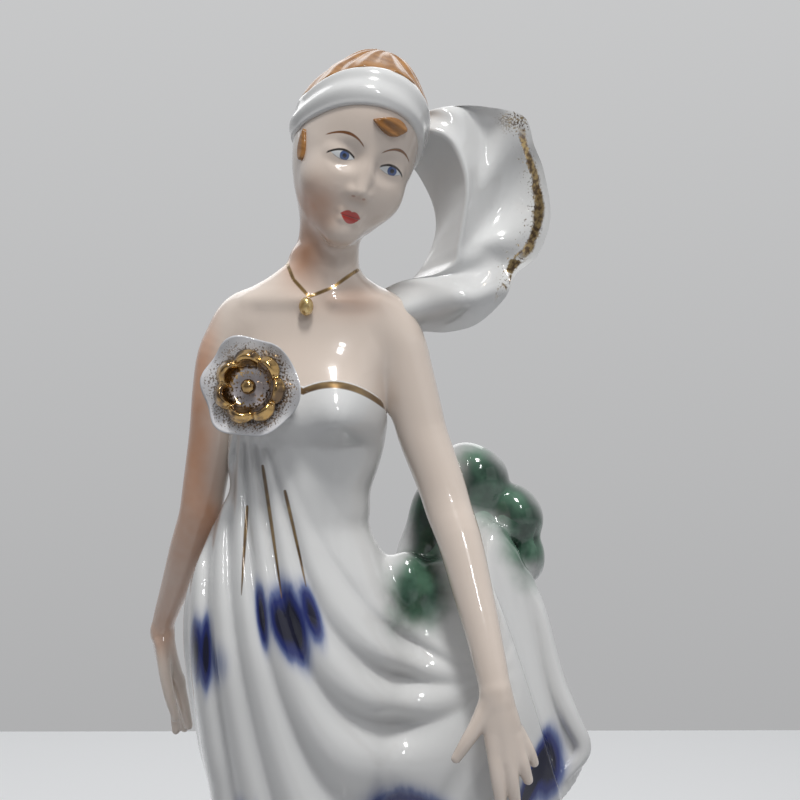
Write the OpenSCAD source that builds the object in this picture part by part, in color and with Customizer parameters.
// Slip-cast porcelain figurine of a standing lady, in millimetres.
// The lady faces -Y, +Z is up, and the origin is the centre of the plinth's foot on the table.
// Each casting is trimmed flat where it is luted to the next one.

/* [Plinth] */
// Diameter over the rim bead
plinth_d = 108; // [104:1:118]
// Height from the table to the top of the plate
plinth_h = 12; // [11:0.5:16]
// Thickness of the top plate
plinth_plate = 4; // [3:0.5:5]
// Width of the foot ring that stands on the table
foot_w = 7; // [5:0.5:9]
// Radius of the lower rim bead
bead_r = 3; // [2:0.25:3.5]
// Radius of the rounded upper edge
edge_r = 1.5; // [1:0.25:2.5]
// Diameter of the kiln vent in the plate
vent_d = 8; // [5:0.5:12]

/* [Skirt] */
// Sideways place of the lady's axis from the plinth's centre
body_x = -15; // [-16:0.5:-14]
// Height of the waist seam above the plinth
skirt_h = 168; // [160:1:176]
// Height of the knees above the plinth
knee_z = 62; // [56:1:70]
// Drop of the hips below the waist seam
hip_drop = 34; // [30:1:40]
// Width at the hem
hem_w = 57; // [54:1:60]
// Depth at the hem
hem_d = 58; // [52:1:62]
// Width at the knees
knee_w = 41; // [39:1:44]
// Depth at the knees
knee_d = 38; // [34:1:42]
// Width at the hips
hip_w = 57; // [52:1:60]
// Depth at the hips
hip_d = 43; // [38:1:46]
// Width of the gathered cloth at the waist seam
waist_w = 39; // [37:1:41]
// Depth at the waist
waist_d = 27; // [25:1:30]
// Number of folds round the skirt
fold_count = 22; // [16:2:26]
// Angle that the folds wind round from the waist to the hem
fold_wind = 48; // [0:2:60]
// Depth of a fold at the hem
fold_depth = 2.6; // [1:0.1:3.2]
// Wall of the hollow castings
cast_wall = 4; // [3:0.25:5]

/* [Torso] */
// Height of the neck seam above the waist seam
torso_h = 66; // [63:0.5:70]
// Drop of the bust below the neck seam
bust_drop = 40; // [38:0.5:42]
// Width at the bust
bust_w = 38; // [35:0.5:38]
// How far the breasts stand out from the chest
bust_out = 6; // [4:0.25:8]
// Depth of the chest from front to back
chest_d = 25; // [23:0.5:28]
// Distance between the two arm seams
shoulder_w = 38.5; // [37:0.5:42]
// Sideways lean from the waist to the neck
torso_lean = 5.5; // [4.5:0.5:7]

/* [Head] */
// Width of the neck
neck_w = 14.5; // [13.5:0.5:16]
// Length of the neck from its seam to the chin
neck_len = 6; // [5:0.5:7]
// Height of the head from the chin to the crown
head_h = 44; // [42:0.5:47]
// Width of the head
head_w = 31; // [29:0.5:33]
// Depth of the head from the forehead to the nape
head_d = 35; // [33:0.5:38]
// Sideways tilt of the head
head_tilt = 16; // [10:1:22]
// Turn of the face to the side
head_turn = 18; // [5:1:26]
// Nod of the face towards the floor
head_nod = 8; // [0:1:14]

/* [Headdress] */
// Thickness of the headband
band_t = 1.6; // [1.2:0.1:2.2]
// Thickness of the hair over the crown
hair_t = 4.2; // [3.2:0.1:5]
// Thickness of the painted curls
curl_t = 0.9; // [0.6:0.1:1.2]

/* [Scarf] */
// Radius of the open loop between the face and the scarf
loop_r = 20; // [18.5:0.5:21]
// Half width of the blown-out end
scarf_w = 27; // [25:0.5:30]
// Half height of the blown-out end
scarf_h = 28; // [26:0.5:30]
// Thickness of the scarf
scarf_t = 15; // [12:0.5:18]
// Depth of the scarf's pleats
pleat_d = 2; // [1:0.1:2.6]

/* [Arms] */
// Length of the upper arm
upper_len = 33; // [30:0.5:36]
// Length of the forearm
fore_len = 44; // [41:0.5:46]
// Diameter of the upper arm
arm_d = 11.4; // [10.4:0.2:12.4]
// Width of the wrist
wrist_d = 7; // [6:0.2:8]
// Length of the palm
palm_len = 13; // [11:0.5:15]
// Length of the middle finger
finger_len = 17; // [14:0.5:19]
// Diameter of a finger at its root
finger_d = 3.6; // [3.2:0.1:3.8]

/* [Train] */
// Reach of the gathered train from its seam to its tip
train_reach = 53; // [48:0.5:57]
// Height of the train's tip above the plinth
train_tip_z = 114; // [106:1:122]
// Height of the train's lower edge at the seam above the plinth
train_hem_z = 40; // [32:1:50]
// Drop of the train's upper edge below the waist seam
train_drop = 12; // [9:0.5:16]
// How far the train swells to the front
train_d = 21; // [18:0.5:22]
// Depth of a swag
swag_depth = 3; // [1:0.1:3.5]
// Number of swags between the upper edge and the hem
swag_count = 7; // [5:1:8]
// How far the swags sag between the skirt and the hand
swag_sag = 9; // [4:0.5:12]
// Height of the peak in which the train climbs the rock
peak_h = 14; // [8:0.5:17]

/* [Rock] */
// Height of the rock above the plinth
rock_h = 189; // [182:1:196]
// Radius of the rock's column
rock_r = 14; // [13:0.5:15]
// Sideways place of the rock from its seam to its axis
rock_x = 23; // [21:0.5:25]
// Radius of the largest boulder
boulder_r = 10; // [9:0.5:11]
// Number of lumps that climb the column
lump_count = 12; // [10:1:14]
// Radius of a lump
lump_r = 9.8; // [9:0.2:10.6]
// Distance of a lump's middle from the column's axis
lump_out = 7; // [6:0.2:7.6]

/* [Flower] */
// Diameter of the frilled collar
flower_d = 24; // [21:0.5:27]
// Diameter of the gilt cup
cup_d = 16; // [14:0.5:18]
// Height of the gilt cup
cup_h = 3; // [2.4:0.1:4]
// Diameter of the centre bead
bead_d = 3.6; // [3:0.2:4.4]
// Number of petals
petal_count = 6; // [5:1:7]
// Thickness of the petals
petal_t = 1.4; // [1:0.1:1.8]
// Diameter of the pendant
pendant_d = 3.8; // [3:0.2:4.6]

/* [Joints] */
// Diameter of the pegs that key the solid castings
peg_d = 5; // [4:0.25:6]
// Length of a peg
peg_len = 6; // [4:0.25:7]
// Gap that the slip fills round a peg
slip_gap = 0.15; // [0.1:0.05:0.3]
// Gap of slip under a seated face
seat_gap = 0.1; // [0.05:0.05:0.3]

/* [Hidden] */
$fn = 64;
porcelain = "#e9ecec";
flesh = "#efd9cb";
hair_brown = "#a8702f";
gilt = "#a9803c";
moss_green = "#4c7a5c";

waist_z = plinth_h + skirt_h;
neck_z = waist_z + torso_h;
bust_z = neck_z - bust_drop;
shoulder_z = neck_z - 19;
shoulder_x = body_x + torso_lean * 0.64;
neck_x = body_x + torso_lean;
neck_y = 1.5;
seam_x = body_x + 20;
seam_y = 3;
train_top_z = waist_z - train_drop;
// Sway of the waist towards the flower's side
waist_sway = -2.2;
hold_f = 0.56;
peak_f = 0.53;
hem_open = hem_w / 2 - 16;

// Value at t, from 0 to the last index, of a smooth curve through a list of stations
function along(list, t) =
    let (n = len(list) - 1, k = max(0, min(floor(t), n - 1)), f = t - k,
         b = list[k], c = list[k + 1],
         a = k > 0 ? list[k - 1] : 2 * b - c,
         d = k + 2 <= n ? list[k + 2] : 2 * c - b)
    0.5 * (2 * b + (c - a) * f + (2 * a - 5 * b + 4 * c - d) * f * f + (3 * b - a - 3 * c + d) * f * f * f);

function bell(x, wide) = exp(-x * x / (wide * wide));
function mean(points) = [for (i = [0:2]) [for (p = points) p[i]] * [for (p = points) 1] / len(points)];
function unit(v) = v / norm(v);
function clamp(x, low, high) = max(low, min(x, high));

// Side faces between rings of equal size, from the first ring to the last
function side_faces(rings, first, n) =
    [for (k = [0:rings - 2]) for (i = [0:n - 1])
        let (j = (i + 1) % n, low = first + k * n, high = low + n)
        each [[low + i, high + i, high + j], [low + i, high + j, low + j]]];
function fan_faces(tip, first, n, flip) =
    [for (i = [0:n - 1]) let (j = (i + 1) % n)
        flip ? [tip, first + j, first + i] : [tip, first + i, first + j]];
function flipped(faces) = [for (f = faces) [f[0], f[2], f[1]]];

// Closed solid through a list of rings, each capped by a fan
module loft(rings) {
    n = len(rings[0]);
    m = len(rings);
    polyhedron(
        concat([for (r = rings) each r], [mean(rings[0]), mean(rings[m - 1])]),
        concat(side_faces(m, 0, n), fan_faces(m * n, 0, n, false), fan_faces(m * n + 1, (m - 1) * n, n, true)),
        convexity = 8);
}

// Hollow casting between outer and inner rings; the top is closed or open
module shell(outer, inner, open_top) {
    n = len(outer[0]);
    m = len(outer);
    k = len(inner);
    top_out = (m - 1) * n;
    first_in = m * n;
    top_in = first_in + (k - 1) * n;
    rim = [for (i = [0:n - 1]) let (j = (i + 1) % n) each
        [[i, j, first_in + j], [i, first_in + j, first_in + i]]];
    top_rim = [for (i = [0:n - 1]) let (j = (i + 1) % n) each
        [[top_out + i, top_in + j, top_out + j], [top_out + i, top_in + i, top_in + j]]];
    top_caps = concat(fan_faces((m + k) * n, top_out, n, true), fan_faces((m + k) * n + 1, top_in, n, false));
    polyhedron(
        concat([for (r = outer) each r], [for (r = inner) each r], [mean(outer[m - 1]), mean(inner[k - 1])]),
        concat(side_faces(m, 0, n), flipped(side_faces(k, first_in, n)), rim, open_top ? top_rim : top_caps),
        convexity = 8);
}

// Ring of n points with centre c and half axes u and v
function oval(c, u, v, n) = [for (i = [0:n - 1]) c + u * cos(360 * i / n) + v * sin(360 * i / n)];

// Tube through stations of centre, half axis u and half axis v; the axes keep their lengths while they turn
module limb(stations, n, steps) {
    last = len(stations) - 1;
    sizes = [for (s = stations) [norm(s[1]), norm(s[2])]];
    loft([for (i = [0:steps]) let (t = last * i / steps, s = along(stations, t), size = along(sizes, t))
        oval(s[0], unit(s[1]) * size[0], unit(s[2]) * size[1], n)]);
}

// Plinth

module plinth() color(porcelain) difference() {
    rotate_extrude() difference() {
        union() {
            square([plinth_d / 2 - bead_r - edge_r, plinth_h]);
            square([plinth_d / 2 - bead_r, plinth_h - edge_r]);
            square([plinth_d / 2 - bead_r, 2 * bead_r]);
            translate([plinth_d / 2 - bead_r - edge_r, plinth_h - edge_r]) circle(edge_r);
            translate([plinth_d / 2 - bead_r, bead_r]) circle(bead_r);
        }
        translate([0, -1]) square([plinth_d / 2 - bead_r - foot_w, plinth_h - plinth_plate + 1]);
    }
    translate([body_x, 0, 0]) cylinder(d = vent_d, h = plinth_h + 1);
}

// Skirt: height above the plinth, sideways drift, half width, half depth

skirt_stations = [
    [0, 3, hem_w / 2, hem_d / 2],
    [knee_z * 0.3, 3, (hem_w + 2 * knee_w) / 6, (hem_d + 2 * knee_d) / 6],
    [knee_z, 2.4, knee_w / 2, knee_d / 2],
    [(knee_z + skirt_h - hip_drop) / 2, 1.4, (knee_w + hip_w) / 4 - 1.9, (knee_d + hip_d) / 4 + 0.4],
    [skirt_h - hip_drop, 0, hip_w / 2, hip_d / 2],
    [skirt_h - hip_drop * 0.4, 0.7 * waist_sway, (hip_w + waist_w) / 4 + 2.2, hip_d * 0.2 + waist_d * 0.34],
    [skirt_h, waist_sway, waist_w / 2, waist_d / 2]];

// Rounded folds with narrow valleys, along lines that wind round the body from the gather under the flower
function fold(a) = abs(sin(fold_count * a / 2)) - 0.6;
function wind(h) = fold_wind * (1 - h / skirt_h);
// The skirt is trimmed flat along the train and opens out again below the train's hem
function seam_limit(h) = seam_x + min(hem_open, 1.6 * max(0, train_hem_z - 12 - h));
function skirt_point(s, line, inset, soft) =
    let (a = line + wind(s[0]),
         grow = fold_depth * (1.2 - s[0] / skirt_h),
         out = soft * grow * fold(line) - inset,
         x = body_x + s[1] + (s[2] + out) * cos(a))
    [min(x, seam_limit(s[0]) - inset), (s[3] + out) * sin(a), plinth_h + s[0]];
function skirt_ring(t, inset, soft) =
    let (s = along(skirt_stations, t), n = 3 * fold_count)
    [for (i = [0:n - 1]) skirt_point(s, 360 * i / n, inset, soft)];
skirt_last = len(skirt_stations) - 1;
skirt_rings = 22;
core_rings = 5;

module skirt() color(porcelain)
    shell([for (i = [0:skirt_rings]) skirt_ring(skirt_last * i / skirt_rings, 0, 1)],
          [for (i = [0:core_rings]) skirt_ring(skirt_last * i / core_rings, cast_wall, 0)], true);

// Torso: height above the waist, sideways drift, half width, front, back

torso_stations = [
    [0, waist_sway, waist_w / 2, waist_d / 2, waist_d / 2],
    [10, 0.2 * waist_sway, waist_w / 2 - 1.4, waist_d / 2, chest_d / 2 - 1],
    [torso_h - bust_drop - 9, torso_lean * 0.15, (waist_w + bust_w) / 4 - 0.8, chest_d / 2, chest_d / 2 - 0.5],
    [torso_h - bust_drop, torso_lean * 0.38, bust_w / 2, chest_d / 2 + 1, chest_d / 2],
    [torso_h - 29, torso_lean * 0.53, bust_w / 2 + 0.8, chest_d / 2, chest_d / 2],
    [torso_h - 19, torso_lean * 0.64, shoulder_w / 2 + 4, chest_d / 2 - 2.5, chest_d / 2],
    [torso_h - 11, torso_lean * 0.7, shoulder_w / 2 + 4, chest_d / 2 - 4, chest_d / 2 - 1],
    [torso_h - 6, torso_lean * 0.8, shoulder_w / 2 - 3, neck_w / 2 + 1, chest_d / 2 - 2],
    [torso_h - 2.4, torso_lean * 0.95, neck_w / 2 + 3.4, neck_w / 2 - 0.5, neck_w / 2 + 2.6],
    [torso_h, torso_lean, neck_w / 2, neck_w / 2 - neck_y, neck_w / 2 + neck_y]];

function breast(x, z) = bust_out * (bell(x - 9, 8) + bell(x + 9, 8)) * bell(z - bust_z, z > bust_z ? 8 : 6.5);
function torso_point(s, a, inset) =
    let (x = (s[2] - inset) * cos(a), side = sin(a) > 0 ? s[4] : s[3], z = waist_z + s[0],
         y = (side - inset) * sin(a) - (sin(a) < 0 ? -sin(a) * breast(x, z) * (inset > 0 ? 0 : 1) : 0),
         // flat arm seams from the armpit upwards
         limit = s[0] > torso_h - bust_drop - 2 ? shoulder_w / 2 - inset : hip_w)
    [clamp(body_x + s[1] + x, shoulder_x - limit, shoulder_x + limit), y, z];
function torso_ring(t, inset, n) =
    let (s = along(torso_stations, t)) [for (i = [0:n - 1]) torso_point(s, 360 * i / n, inset)];
// Point on the chest at station t and angle a
function chest_point(t, a) = torso_point(along(torso_stations, t), a, 0);
function chest_normal(t, a) =
    let (round = chest_point(t, a + 3) - chest_point(t, a - 3),
         upward = chest_point(t + 0.1, a) - chest_point(t - 0.1, a))
    unit(cross(round, upward));

module torso() color(flesh) difference() {
    shell([for (i = [0:18]) torso_ring(i / 2, 0, 40)], [for (i = [0:3]) torso_ring(i, cast_wall, 40)], false);
    translate([neck_x, neck_y, neck_z - peg_len - slip_gap])
        cylinder(d = peg_d + 2 * slip_gap, h = peg_len + 1);
    for (side = [-1, 1])
        translate([shoulder_x + side * (shoulder_w / 2 - peg_len - slip_gap), 0, shoulder_z])
            rotate([0, side * 90, 0]) cylinder(d = peg_d + 2 * slip_gap, h = peg_len + 1);
    flower_place() translate([0, 0, -flower_lift - stem_in - slip_gap])
        cylinder(d = stem_d + 2 * slip_gap, h = flower_lift + stem_in + 20);
}

// Head: front height, back height, half width, front, back, from the neck seam upwards

chin_z = neck_len;
face_y = head_d * 0.47;
nape_y = head_d * 0.53;
head_stations = [
    [0, 0, neck_w / 2, neck_w / 2 - neck_y, neck_w / 2 + neck_y, 0],
    [neck_len * 0.5, neck_len * 0.6, neck_w / 2 - 0.5, neck_w / 2 - 2, neck_w / 2 + 0.8, 0.15],
    [neck_len * 0.85, neck_len + 2, neck_w / 2 - 0.2, neck_w / 2 - 1, neck_w / 2 + 1.5, 0.6],
    [chin_z + 0.4, chin_z + 5, head_w * 0.27, face_y * 0.72, nape_y * 0.55, 1],
    [chin_z + 2.5, chin_z + 8, head_w * 0.35, face_y * 0.9, nape_y * 0.72, 1],
    [chin_z + head_h * 0.17, chin_z + head_h * 0.27, head_w * 0.42, face_y * 0.95, nape_y * 0.88, 1],
    [chin_z + head_h * 0.33, chin_z + head_h * 0.4, head_w * 0.47, face_y * 0.96, nape_y, 1],
    [chin_z + head_h * 0.5, chin_z + head_h * 0.53, head_w * 0.5, face_y * 0.96, nape_y * 1.04, 1],
    [chin_z + head_h * 0.66, chin_z + head_h * 0.67, head_w * 0.5, face_y, nape_y * 1.02, 1],
    [chin_z + head_h * 0.82, chin_z + head_h * 0.82, head_w * 0.44, face_y * 0.86, nape_y * 0.9, 1],
    [chin_z + head_h * 0.94, chin_z + head_h * 0.94, head_w * 0.29, face_y * 0.54, nape_y * 0.6, 1],
    [chin_z + head_h, chin_z + head_h, head_w * 0.06, face_y * 0.1, nape_y * 0.12, 1]];
head_last = len(head_stations) - 1;

function turned(p, tilt, turn, nod) =
    let (a = [p[0], p[1] * cos(nod) - p[2] * sin(nod), p[1] * sin(nod) + p[2] * cos(nod)],
         b = [a[0] * cos(turn) - a[1] * sin(turn), a[0] * sin(turn) + a[1] * cos(turn), a[2]])
    [b[0] * cos(tilt) + b[2] * sin(tilt), b[1], -b[0] * sin(tilt) + b[2] * cos(tilt)];
// Head coordinates to the figure's; share is 0 at the neck seam and 1 on the head
function posed(p, share) =
    let (up = neck_len * 0.4)
    [neck_x, 0, neck_z + up]
    + turned(p - [0, 0, up], share * head_tilt, share * head_turn, share * head_nod);
function nose(x, z) =
    let (tip = chin_z + head_h * 0.34, brow = chin_z + head_h * 0.54)
    2.8 * bell(x, 2.8) * bell(z - tip, z > tip ? 7.5 : 2.6) - 1.1 * bell(abs(x) - 6, 3.6) * bell(z - brow, 3.4);
function lips(x, z) = 0.7 * bell(x, 4) * bell(z - chin_z - head_h * 0.2, 1.8);
// Point on the head at station t and angle a, standing out by the offset
function head_point(t, a, out) =
    let (s = along(head_stations, t), x = (s[2] + out) * cos(a),
         side = sin(a) > 0 ? s[4] + out : s[3] + out,
         level = s[0] + (s[1] - s[0]) * (0.5 + 0.5 * sin(a)),
         rise = level + out * max(0, t - head_last + 3) / 3,
         y = side * sin(a) - (sin(a) < 0 ? -sin(a) * (nose(x, level) + lips(x, level)) : 0))
    posed([x, y, rise], clamp(s[5], 0, 1));
function head_ring(t, out, n) = [for (i = [0:n - 1]) head_point(t, 360 * i / n, out)];

head_sides = 36;

module head() color(flesh) union() {
    loft([for (i = [0:2 * head_last]) head_ring(i / 2, 0, head_sides)]);
    translate([neck_x, neck_y, neck_z - peg_len]) cylinder(d = peg_d, h = peg_len + 3);
}

// Headband and hair are shells over the head between two of its stations

band_low = [8.3, 5.7];
band_high = [10, 6.9];
cover_gap = 0.3;

// Station of an edge that runs from the forehead to the nape
function edge_at(edge, a) = edge[0] + (edge[1] - edge[0]) * (1 + sin(a)) / 2;
function cover_ring(low, high, f, out, n) =
    [for (i = [0:n - 1]) let (a = 360 * i / n)
        head_point(edge_at(low, a) + (edge_at(high, a) - edge_at(low, a)) * f, a, cover_gap + out)];

function band_out(f) = band_t * (0.3 + 2.8 * f * (1 - f));

module headband() color(porcelain)
    shell([for (i = [0:5]) cover_ring(band_low, band_high, i / 5, band_out(i / 5), head_sides)],
          [for (i = [0:5]) cover_ring(band_low, band_high, i / 5, 0, head_sides)], true);

// The hair is combed up in waves over the crown
function wave(f, a) = hair_t * (0.5 + 0.5 * sin(90 * f) + 0.16 * sin(180 * f) * cos(9 * a + 200 * f));
function hair_ring(f, out, n) =
    let (low = [band_high[0] + 0.06, band_high[1] + 0.06], high = [head_last, head_last])
    [for (i = [0:n - 1]) let (a = 360 * i / n, t = edge_at(low, a) + (edge_at(high, a) - edge_at(low, a)) * f)
        head_point(t, a, cover_gap + (out < 0 ? 0 : out + wave(f, a)))];

module hair() color(hair_brown)
    shell([for (i = [0:7]) hair_ring(i / 7, 0, head_sides)],
          [for (i = [0:7]) hair_ring(i / 7, -1, head_sides)], false);

// A curl is a raised leaf on the head, below the band, between two angles
module curl(t, a, wide, tall) {
    function leaf(f, out) = [for (i = [0:7])
        head_point(t + tall * f * sin(45 * i), a + wide * f * cos(45 * i), out)];
    loft([leaf(1, cover_gap), leaf(0.8, curl_t), leaf(0.3, curl_t * 1.25)]);
}

module forelock() color(hair_brown) curl(7.85, 284, 13, 0.24);
module temple_curl() color(hair_brown) curl(6.7, 207, 6, 0.4);

// Scarf between an inner arc round the open loop and an outer oval

function loop_edge(f) = let (a = 33 - 111 * f)
    [neck_x + 4.4 + loop_r * cos(a), 9, neck_z + 13.5 + loop_r * sin(a)];
function blown_edge(f) = let (a = 97 - 204 * f, corner = 1 + 0.1 * bell(a - 48, 14))
    [neck_x + 27 + scarf_w * corner * cos(a), 5, neck_z + 12 + scarf_h * corner * sin(a)];
function pleat(f, g) = pleat_d * sin(180 * f) * max(0, 0.3 + g) * (abs(cos(7 * 180 * f + 30 * g)) - 0.5);
function scarf_ring(f, n) =
    let (a = loop_edge(f), b = blown_edge(f), mid = (a + b) / 2, half = (b - a) / 2,
         thick = scarf_t / 2 * (0.75 + 0.25 * sin(180 * f)))
    [for (i = [0:n - 1]) let (c = cos(360 * i / n), s = sin(360 * i / n))
        mid + half * c + [0, thick * s * (1 - 0.35 * c) + pleat(f, c) - 3 * (1 - c * c), 0]];

module scarf() color(porcelain) difference() {
    loft([for (i = [0:22]) scarf_ring(1 - i / 22, 18)]);
    // seat on the headdress
    loft(concat([for (i = [0:5]) cover_ring(band_low, band_high, i / 5, seat_gap + band_out(i / 5), head_sides)],
                [for (i = [0:7]) hair_ring(i / 7, seat_gap, head_sides)]));
    // seat on the shoulder and on the top of the left arm
    loft([for (i = [10:18]) torso_ring(i / 2, -seat_gap, 40)]);
    limb([for (s = shoulder_stations(1))
        [s[0], s[1] + unit(s[1]) * seat_gap, s[2] + unit(s[2]) * seat_gap]], 16, 8);
}

// Arms: lengths along the arm and angles outwards and forwards

function reach(side, out, forward) =
    [side * sin(out), -sin(forward) * cos(out), -cos(forward) * cos(out)];
root_h = 11;
root_d = 7.2;
arm_clear = 0.3;
// Four rings that fan from the upright arm seam round the armpit
function shoulder_stations(side) =
    [for (i = [0:3]) let (a = 26 * i, f = 1 - pow(1 - i / 3, 2), h = root_h + (arm_d / 2 - root_h) * f,
        d = root_d + (arm_d / 2 - root_d) * f, radial = [side * sin(a), 0, cos(a)])
        [[shoulder_x + side * shoulder_w / 2, 0, shoulder_z - root_h - arm_clear] + radial * (h + arm_clear),
         radial * h, [0, -side * d, 0]]];
function arm_stations(side, upper, fore, hand, flat) =
    let (start = shoulder_stations(side), top = start[3][0],
         elbow = top + upper_len * upper, wrist = elbow + fore_len * fore, palm = wrist + palm_len * hand,
         across = unit(flat - (flat * hand) * hand), thick = cross(hand, across))
    concat(start, [
        [top + upper_len * 0.5 * upper, [side * arm_d * 0.5, 0, 0], [0, -side * arm_d * 0.5, 0]],
        [elbow, [side * arm_d * 0.45, 0, 0], [0, -side * arm_d * 0.45, 0]],
        [elbow + fore_len * 0.3 * fore, [side * arm_d * 0.45, 0, 0], [0, -side * arm_d * 0.45, 0]],
        [elbow + fore_len * 0.75 * fore, [side * wrist_d * 0.56, 0, 0], [0, -side * wrist_d * 0.56, 0]],
        [wrist, across * wrist_d * 0.52, thick * wrist_d * 0.42],
        [wrist + palm_len * 0.55 * hand, across * wrist_d * 0.78, thick * wrist_d * 0.36],
        [palm, across * wrist_d * 0.8, thick * wrist_d * 0.28],
        [palm + 1.5 * hand, across * wrist_d * 0.5, thick * wrist_d * 0.16]]);
// A finger bends from its root towards a second direction
module finger(root, first, second, length, d) {
    knuckle = root + first * length * 0.5;
    tip = knuckle + second * length * 0.5;
    u = unit(cross(first, [0, 1, 0.2]));
    v = cross(first, u);
    limb([[root - first * 3, u * d / 2, v * d / 2], [knuckle, u * d * 0.47, v * d * 0.47],
          [tip - second * d * 0.4, u * d * 0.36, v * d * 0.36], [tip, u * d * 0.16, v * d * 0.16]], 8, 6);
}
module arm(side, upper, fore, hand, flat, bends, thumb) color(flesh) union() {
    // the thumb is on the -flat side of the left hand and on the +flat side of the right
    stations = arm_stations(side, upper, fore, hand, flat);
    wrist = stations[8][0];
    across = unit(flat - (flat * hand) * hand);
    limb(stations, 16, 33);
    for (i = [0:3])
        finger(wrist + palm_len * hand + across * -side * wrist_d * (0.6 - 0.4 * i), hand, unit(hand + bends[i]),
               finger_len * [0.86, 1, 0.92, 0.74][i], finger_d);
    finger(wrist + palm_len * 0.35 * hand - across * side * wrist_d * 0.55,
           unit(hand + thumb), unit(hand + thumb * 0.6), finger_len * 0.86, finger_d * 1.1);
    translate([shoulder_x + side * (shoulder_w / 2 - peg_len), 0, shoulder_z])
        rotate([0, side * 90, 0]) cylinder(d = peg_d, h = peg_len + 2);
}
module right_arm()
    arm(-1, reach(-1, 8, -10), reach(-1, 18, -36), reach(1, 20, 4), [0.3, -1, 0.2],
        [[0.1, 0.1, 0], [0.15, 0, 0], [0, 0.1, 0], [-0.15, 0.15, 0]], [0.2, -0.35, 0]);
module left_arm()
    arm(1, reach(1, 13.5, 8), reach(1, 14, 26.2), reach(1, 6, -4), [1, 0.15, 0],
        [[0.05, -0.06, 0], [0.1, 0, 0], [0.2, 0.08, 0], [0.45, 0.1, 0.2]], [-0.75, -0.2, 0]);

// Train: rings square to X from the skirt's seam to the tip

function train_low(f) = plinth_h + train_hem_z + (train_tip_z - train_hem_z) * pow(f, 1.08);
// The upper edge runs level, climbs the rock in a peak and falls to the tip
function train_high(f) =
    let (tip = plinth_h + train_tip_z + 3, fall = pow(clamp((f - 0.66) / 0.34, 0, 1), 1.25))
    tip + (train_top_z - tip) * (1 - fall) + peak_h * bell(f - peak_f, 0.16);
function train_out(f) =
    train_d * (0.8 + 0.35 * sin(150 * f)) * (1 - 0.8 * pow(clamp((f - 0.5) / 0.5, 0, 1), 1.6));
// Half depth of the skirt where the train's seam cuts it at height z
function seam_depth(z) =
    let (t = [for (i = [0:0.1:5.9]) if (plinth_h + along(skirt_stations, i)[0] <= z) i],
         s = along(skirt_stations, t[len(t) - 1]))
    s[3] * sqrt(max(0.05, 1 - pow((seam_x - body_x - s[1]) / s[2], 2)));
// Point on the draped front at share f of the reach and share g from the upper edge to the hem
function train_front(f, g) =
    let (x = seam_x + train_reach * f, sag = swag_sag * sin(180 * min(1, f / hold_f)) * sin(180 * g),
         z = train_high(f) + (train_low(f) - train_high(f)) * g - sag,
         deep = swag_depth * min(1, 5 * f) * pow(1 - f, 0.7) * min(1, 3 * g),
         swag = deep * (abs(sin(180 * swag_count * g)) - 0.5),
         w = clamp(f / 0.3, 0, 1), ease = w * w * (3 - 2 * w),
         front = seam_y - train_out(f) * pow(1 - pow(1 - g, 2.2), 0.7))
    [x, ease * front - (1 - ease) * seam_depth(z) - swag, z];
function train_ring(f) =
    let (hem = train_front(f, 1), lift = min(8, (train_high(f) - train_low(f)) * 0.4))
    concat([for (i = [0:4 * swag_count]) train_front(f, i / 4 / swag_count)],
           [for (i = [1:4]) [hem[0], hem[1] + (seam_y - hem[1]) * i / 4, hem[2] + lift * sin(22.5 * i)]],
           [for (i = [1:7]) [hem[0], seam_y, hem[2] + lift + (train_high(f) - hem[2] - lift) * i / 8]]);

module train() color(porcelain)
    loft([for (i = [0:18]) train_ring(0.996 * (1 - pow(1 - i / 18, 1.25)))]);

// Rock: a column with boulders, each a place from the axis, a height above the plinth, a radius
// and an upright stretch

rock_axis = [seam_x + rock_x, seam_y + rock_r - 1];
golden_angle = 137.508;
lump_pitch = (rock_h - 34) / (lump_count - 1);
lump_places = [for (i = [0:lump_count - 1]) let (a = golden_angle * i, out = lump_out + sin(130 * i))
    [out * cos(a), 2 + out * sin(a), 10 + lump_pitch * i, lump_r + 0.8 * sin(97 * i + 57), 1.15]];
boulders = concat(lump_places, [
    [0.4, -2, rock_h - boulder_r, boulder_r, 1],
    [11.2, -2, rock_h - boulder_r - 9, boulder_r * 0.8, 1],
    [14.6, -4, rock_h - boulder_r - 20.5, boulder_r * 0.5, 1.4],
    [-9.5, -4.5, rock_h - boulder_r - 5, boulder_r * 0.5, 1.5],
    [-13, -6.5, rock_h - boulder_r - 16, boulder_r * 0.55, 1.5],
    [-2, -1, rock_h - boulder_r - 16, boulder_r * 1.25, 1.35]]);
// Distance from the axis at angle a and height z to a boulder's far side
function to_boulder(b, a, z) =
    let (dz = (z - b[2]) / b[4], r2 = b[3] * b[3] - dz * dz, p = b[0] * cos(a) + b[1] * sin(a),
         d = r2 - b[0] * b[0] - b[1] * b[1] + p * p)
    r2 > 0 && d > 0 ? max(0, p + sqrt(d)) : 0;
// Plain column that widens to its foot
function column(z) =
    let (f = z / rock_h, round_top = f > 0.84 ? sqrt(max(0, 1 - pow((f - 0.84) / 0.16, 2))) : 1)
    rock_r * (1.02 - 0.15 * f) * round_top;
// The farthest of column and boulders, with rounded valleys where they meet
blend_power = 12;
function rock_reach(a, z) =
    let (reaches = concat([max(0.6, column(z))], [for (b = boulders) to_boulder(b, a, z)]))
    pow([for (r = reaches) pow(r, blend_power)] * [for (r = reaches) 1], 1 / blend_power);
function rock_point(a, z) =
    let (r = rock_reach(a, z)) [rock_axis[0] + r * cos(a), rock_axis[1] + r * sin(a), plinth_h + z];
rock_rings = 34;
rock_sides = 36;

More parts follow.
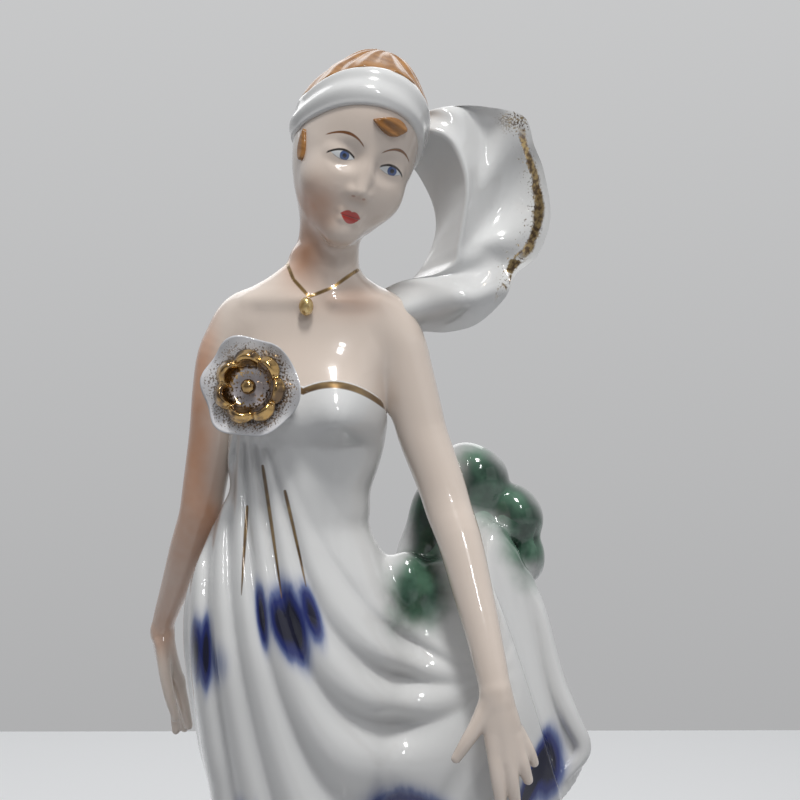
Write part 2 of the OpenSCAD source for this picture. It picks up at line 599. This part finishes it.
module rock() color(moss_green) difference() {
    loft([for (i = [0:rock_rings]) let (z = rock_h * (1 - pow(1 - i / rock_rings, 1.4)))
        [for (k = [0:rock_sides - 1]) rock_point(360 * k / rock_sides, z)]]);
    // flat seat for the train's back
    translate([0, seam_y, 0]) rotate([90, 0, 0]) linear_extrude(60)
        polygon(concat(
            [[seam_x - 9, train_high(0) + seat_gap]],
            [for (f = [0:0.05:1]) [seam_x + train_reach * f, train_high(f) + seat_gap]],
            [for (f = [0:0.05:1]) [seam_x + train_reach * (1.01 - f), train_low(1 - f) - 1]],
            [[seam_x - 9, train_low(0) - 1]]));
    // flat seat for the skirt's side, opening out with the hem
    translate([0, 100, plinth_h]) rotate([90, 0, 0]) linear_extrude(200)
        polygon([[seam_x - 80, -1], [seam_x + hem_open, -1],
            [seam_x + hem_open, train_hem_z - 12 - hem_open / 1.6], [seam_x, train_hem_z - 12],
            [seam_x, rock_h + 1], [seam_x - 80, rock_h + 1]]);
}

// Flower on the right breast: collar, cup and bead share one stem

stem_d = 5;
stem_in = 5;
flower_turn = 14;
flower_lift = 4;
flower_lean = 4;
flower_seat = chest_point(3.75, 233);
module flower_place()
    translate(flower_seat) rotate([90 - flower_lean, 0, -flower_turn]) translate([0, 0, flower_lift]) children();

// Wavy disc: ring at share f of the radius, standing out by out
function petal_ring(r, deep, wave, out, f, n) = [for (i = [0:n - 1])
    let (a = 360 * i / n, w = cos(petal_count * a), d = r * f * (1 + wave * w * f))
    [d * cos(a), d * sin(a), deep * f * f * (1 + 0.35 * w) + out]];
module petals(r, deep, wave, thick, hole) {
    n = 8 * petal_count;
    back = [for (f = [hole / r, 0.7, 1]) petal_ring(r, deep, wave, 0, f, n)];
    front = [for (f = [1, 0.85, 0.5 + hole / r / 2, hole / r])
        petal_ring(r, deep, wave, thick * (1.15 - 0.4 * f), f, n)];
    rings = concat(back, front);
    m = len(rings);
    polyhedron([for (r = rings) each r],
        concat(side_faces(m, 0, n),
               [for (i = [0:n - 1]) let (j = (i + 1) % n, last = (m - 1) * n)
                   each [[last + i, i, j], [last + i, j, last + j]]]),
        convexity = 6);
}
module flower_frill() color(porcelain) flower_place()
    petals(flower_d / 2, 2.2, 0.07, petal_t, stem_d / 2 + slip_gap);
module flower_cup() color(gilt) flower_place() union() {
    translate([0, 0, petal_t * 1.15 + slip_gap]) {
        rotate_extrude() polygon([
            [0, 0], [cup_d * 0.2, 0], [cup_d * 0.42, cup_h * 0.45], [cup_d * 0.5, cup_h],
            [cup_d * 0.44, cup_h], [cup_d * 0.34, petal_t + cup_h * 0.2], [cup_d * 0.16, petal_t],
            [0, petal_t]]);
        for (i = [0:petal_count - 1])
            rotate([0, 0, 360 * i / petal_count]) translate([cup_d * 0.43, 0, cup_h]) sphere(d = cup_d * 0.23);
    }
    translate([0, 0, -flower_lift - stem_in]) cylinder(d = stem_d, h = flower_lift + stem_in + 2 * petal_t);
}
module flower_bead() color(gilt) flower_place()
    translate([0, 0, petal_t * 2.15 + 2 * slip_gap + bead_d / 2]) sphere(d = bead_d);

// Pendant at the pit of the neck

pendant_t = 5.95;
pendant_a = 266;
pendant_rise = pendant_d / 2 + seat_gap;
module pendant() color(gilt)
    translate(chest_point(pendant_t, pendant_a)) translate(chest_normal(pendant_t, pendant_a) * pendant_rise)
        sphere(d = pendant_d);

plinth();
skirt();
torso();
head();
headband();
hair();
forelock();
temple_curl();
scarf();
right_arm();
left_arm();
train();
rock();
flower_frill();
flower_cup();
flower_bead();
pendant();
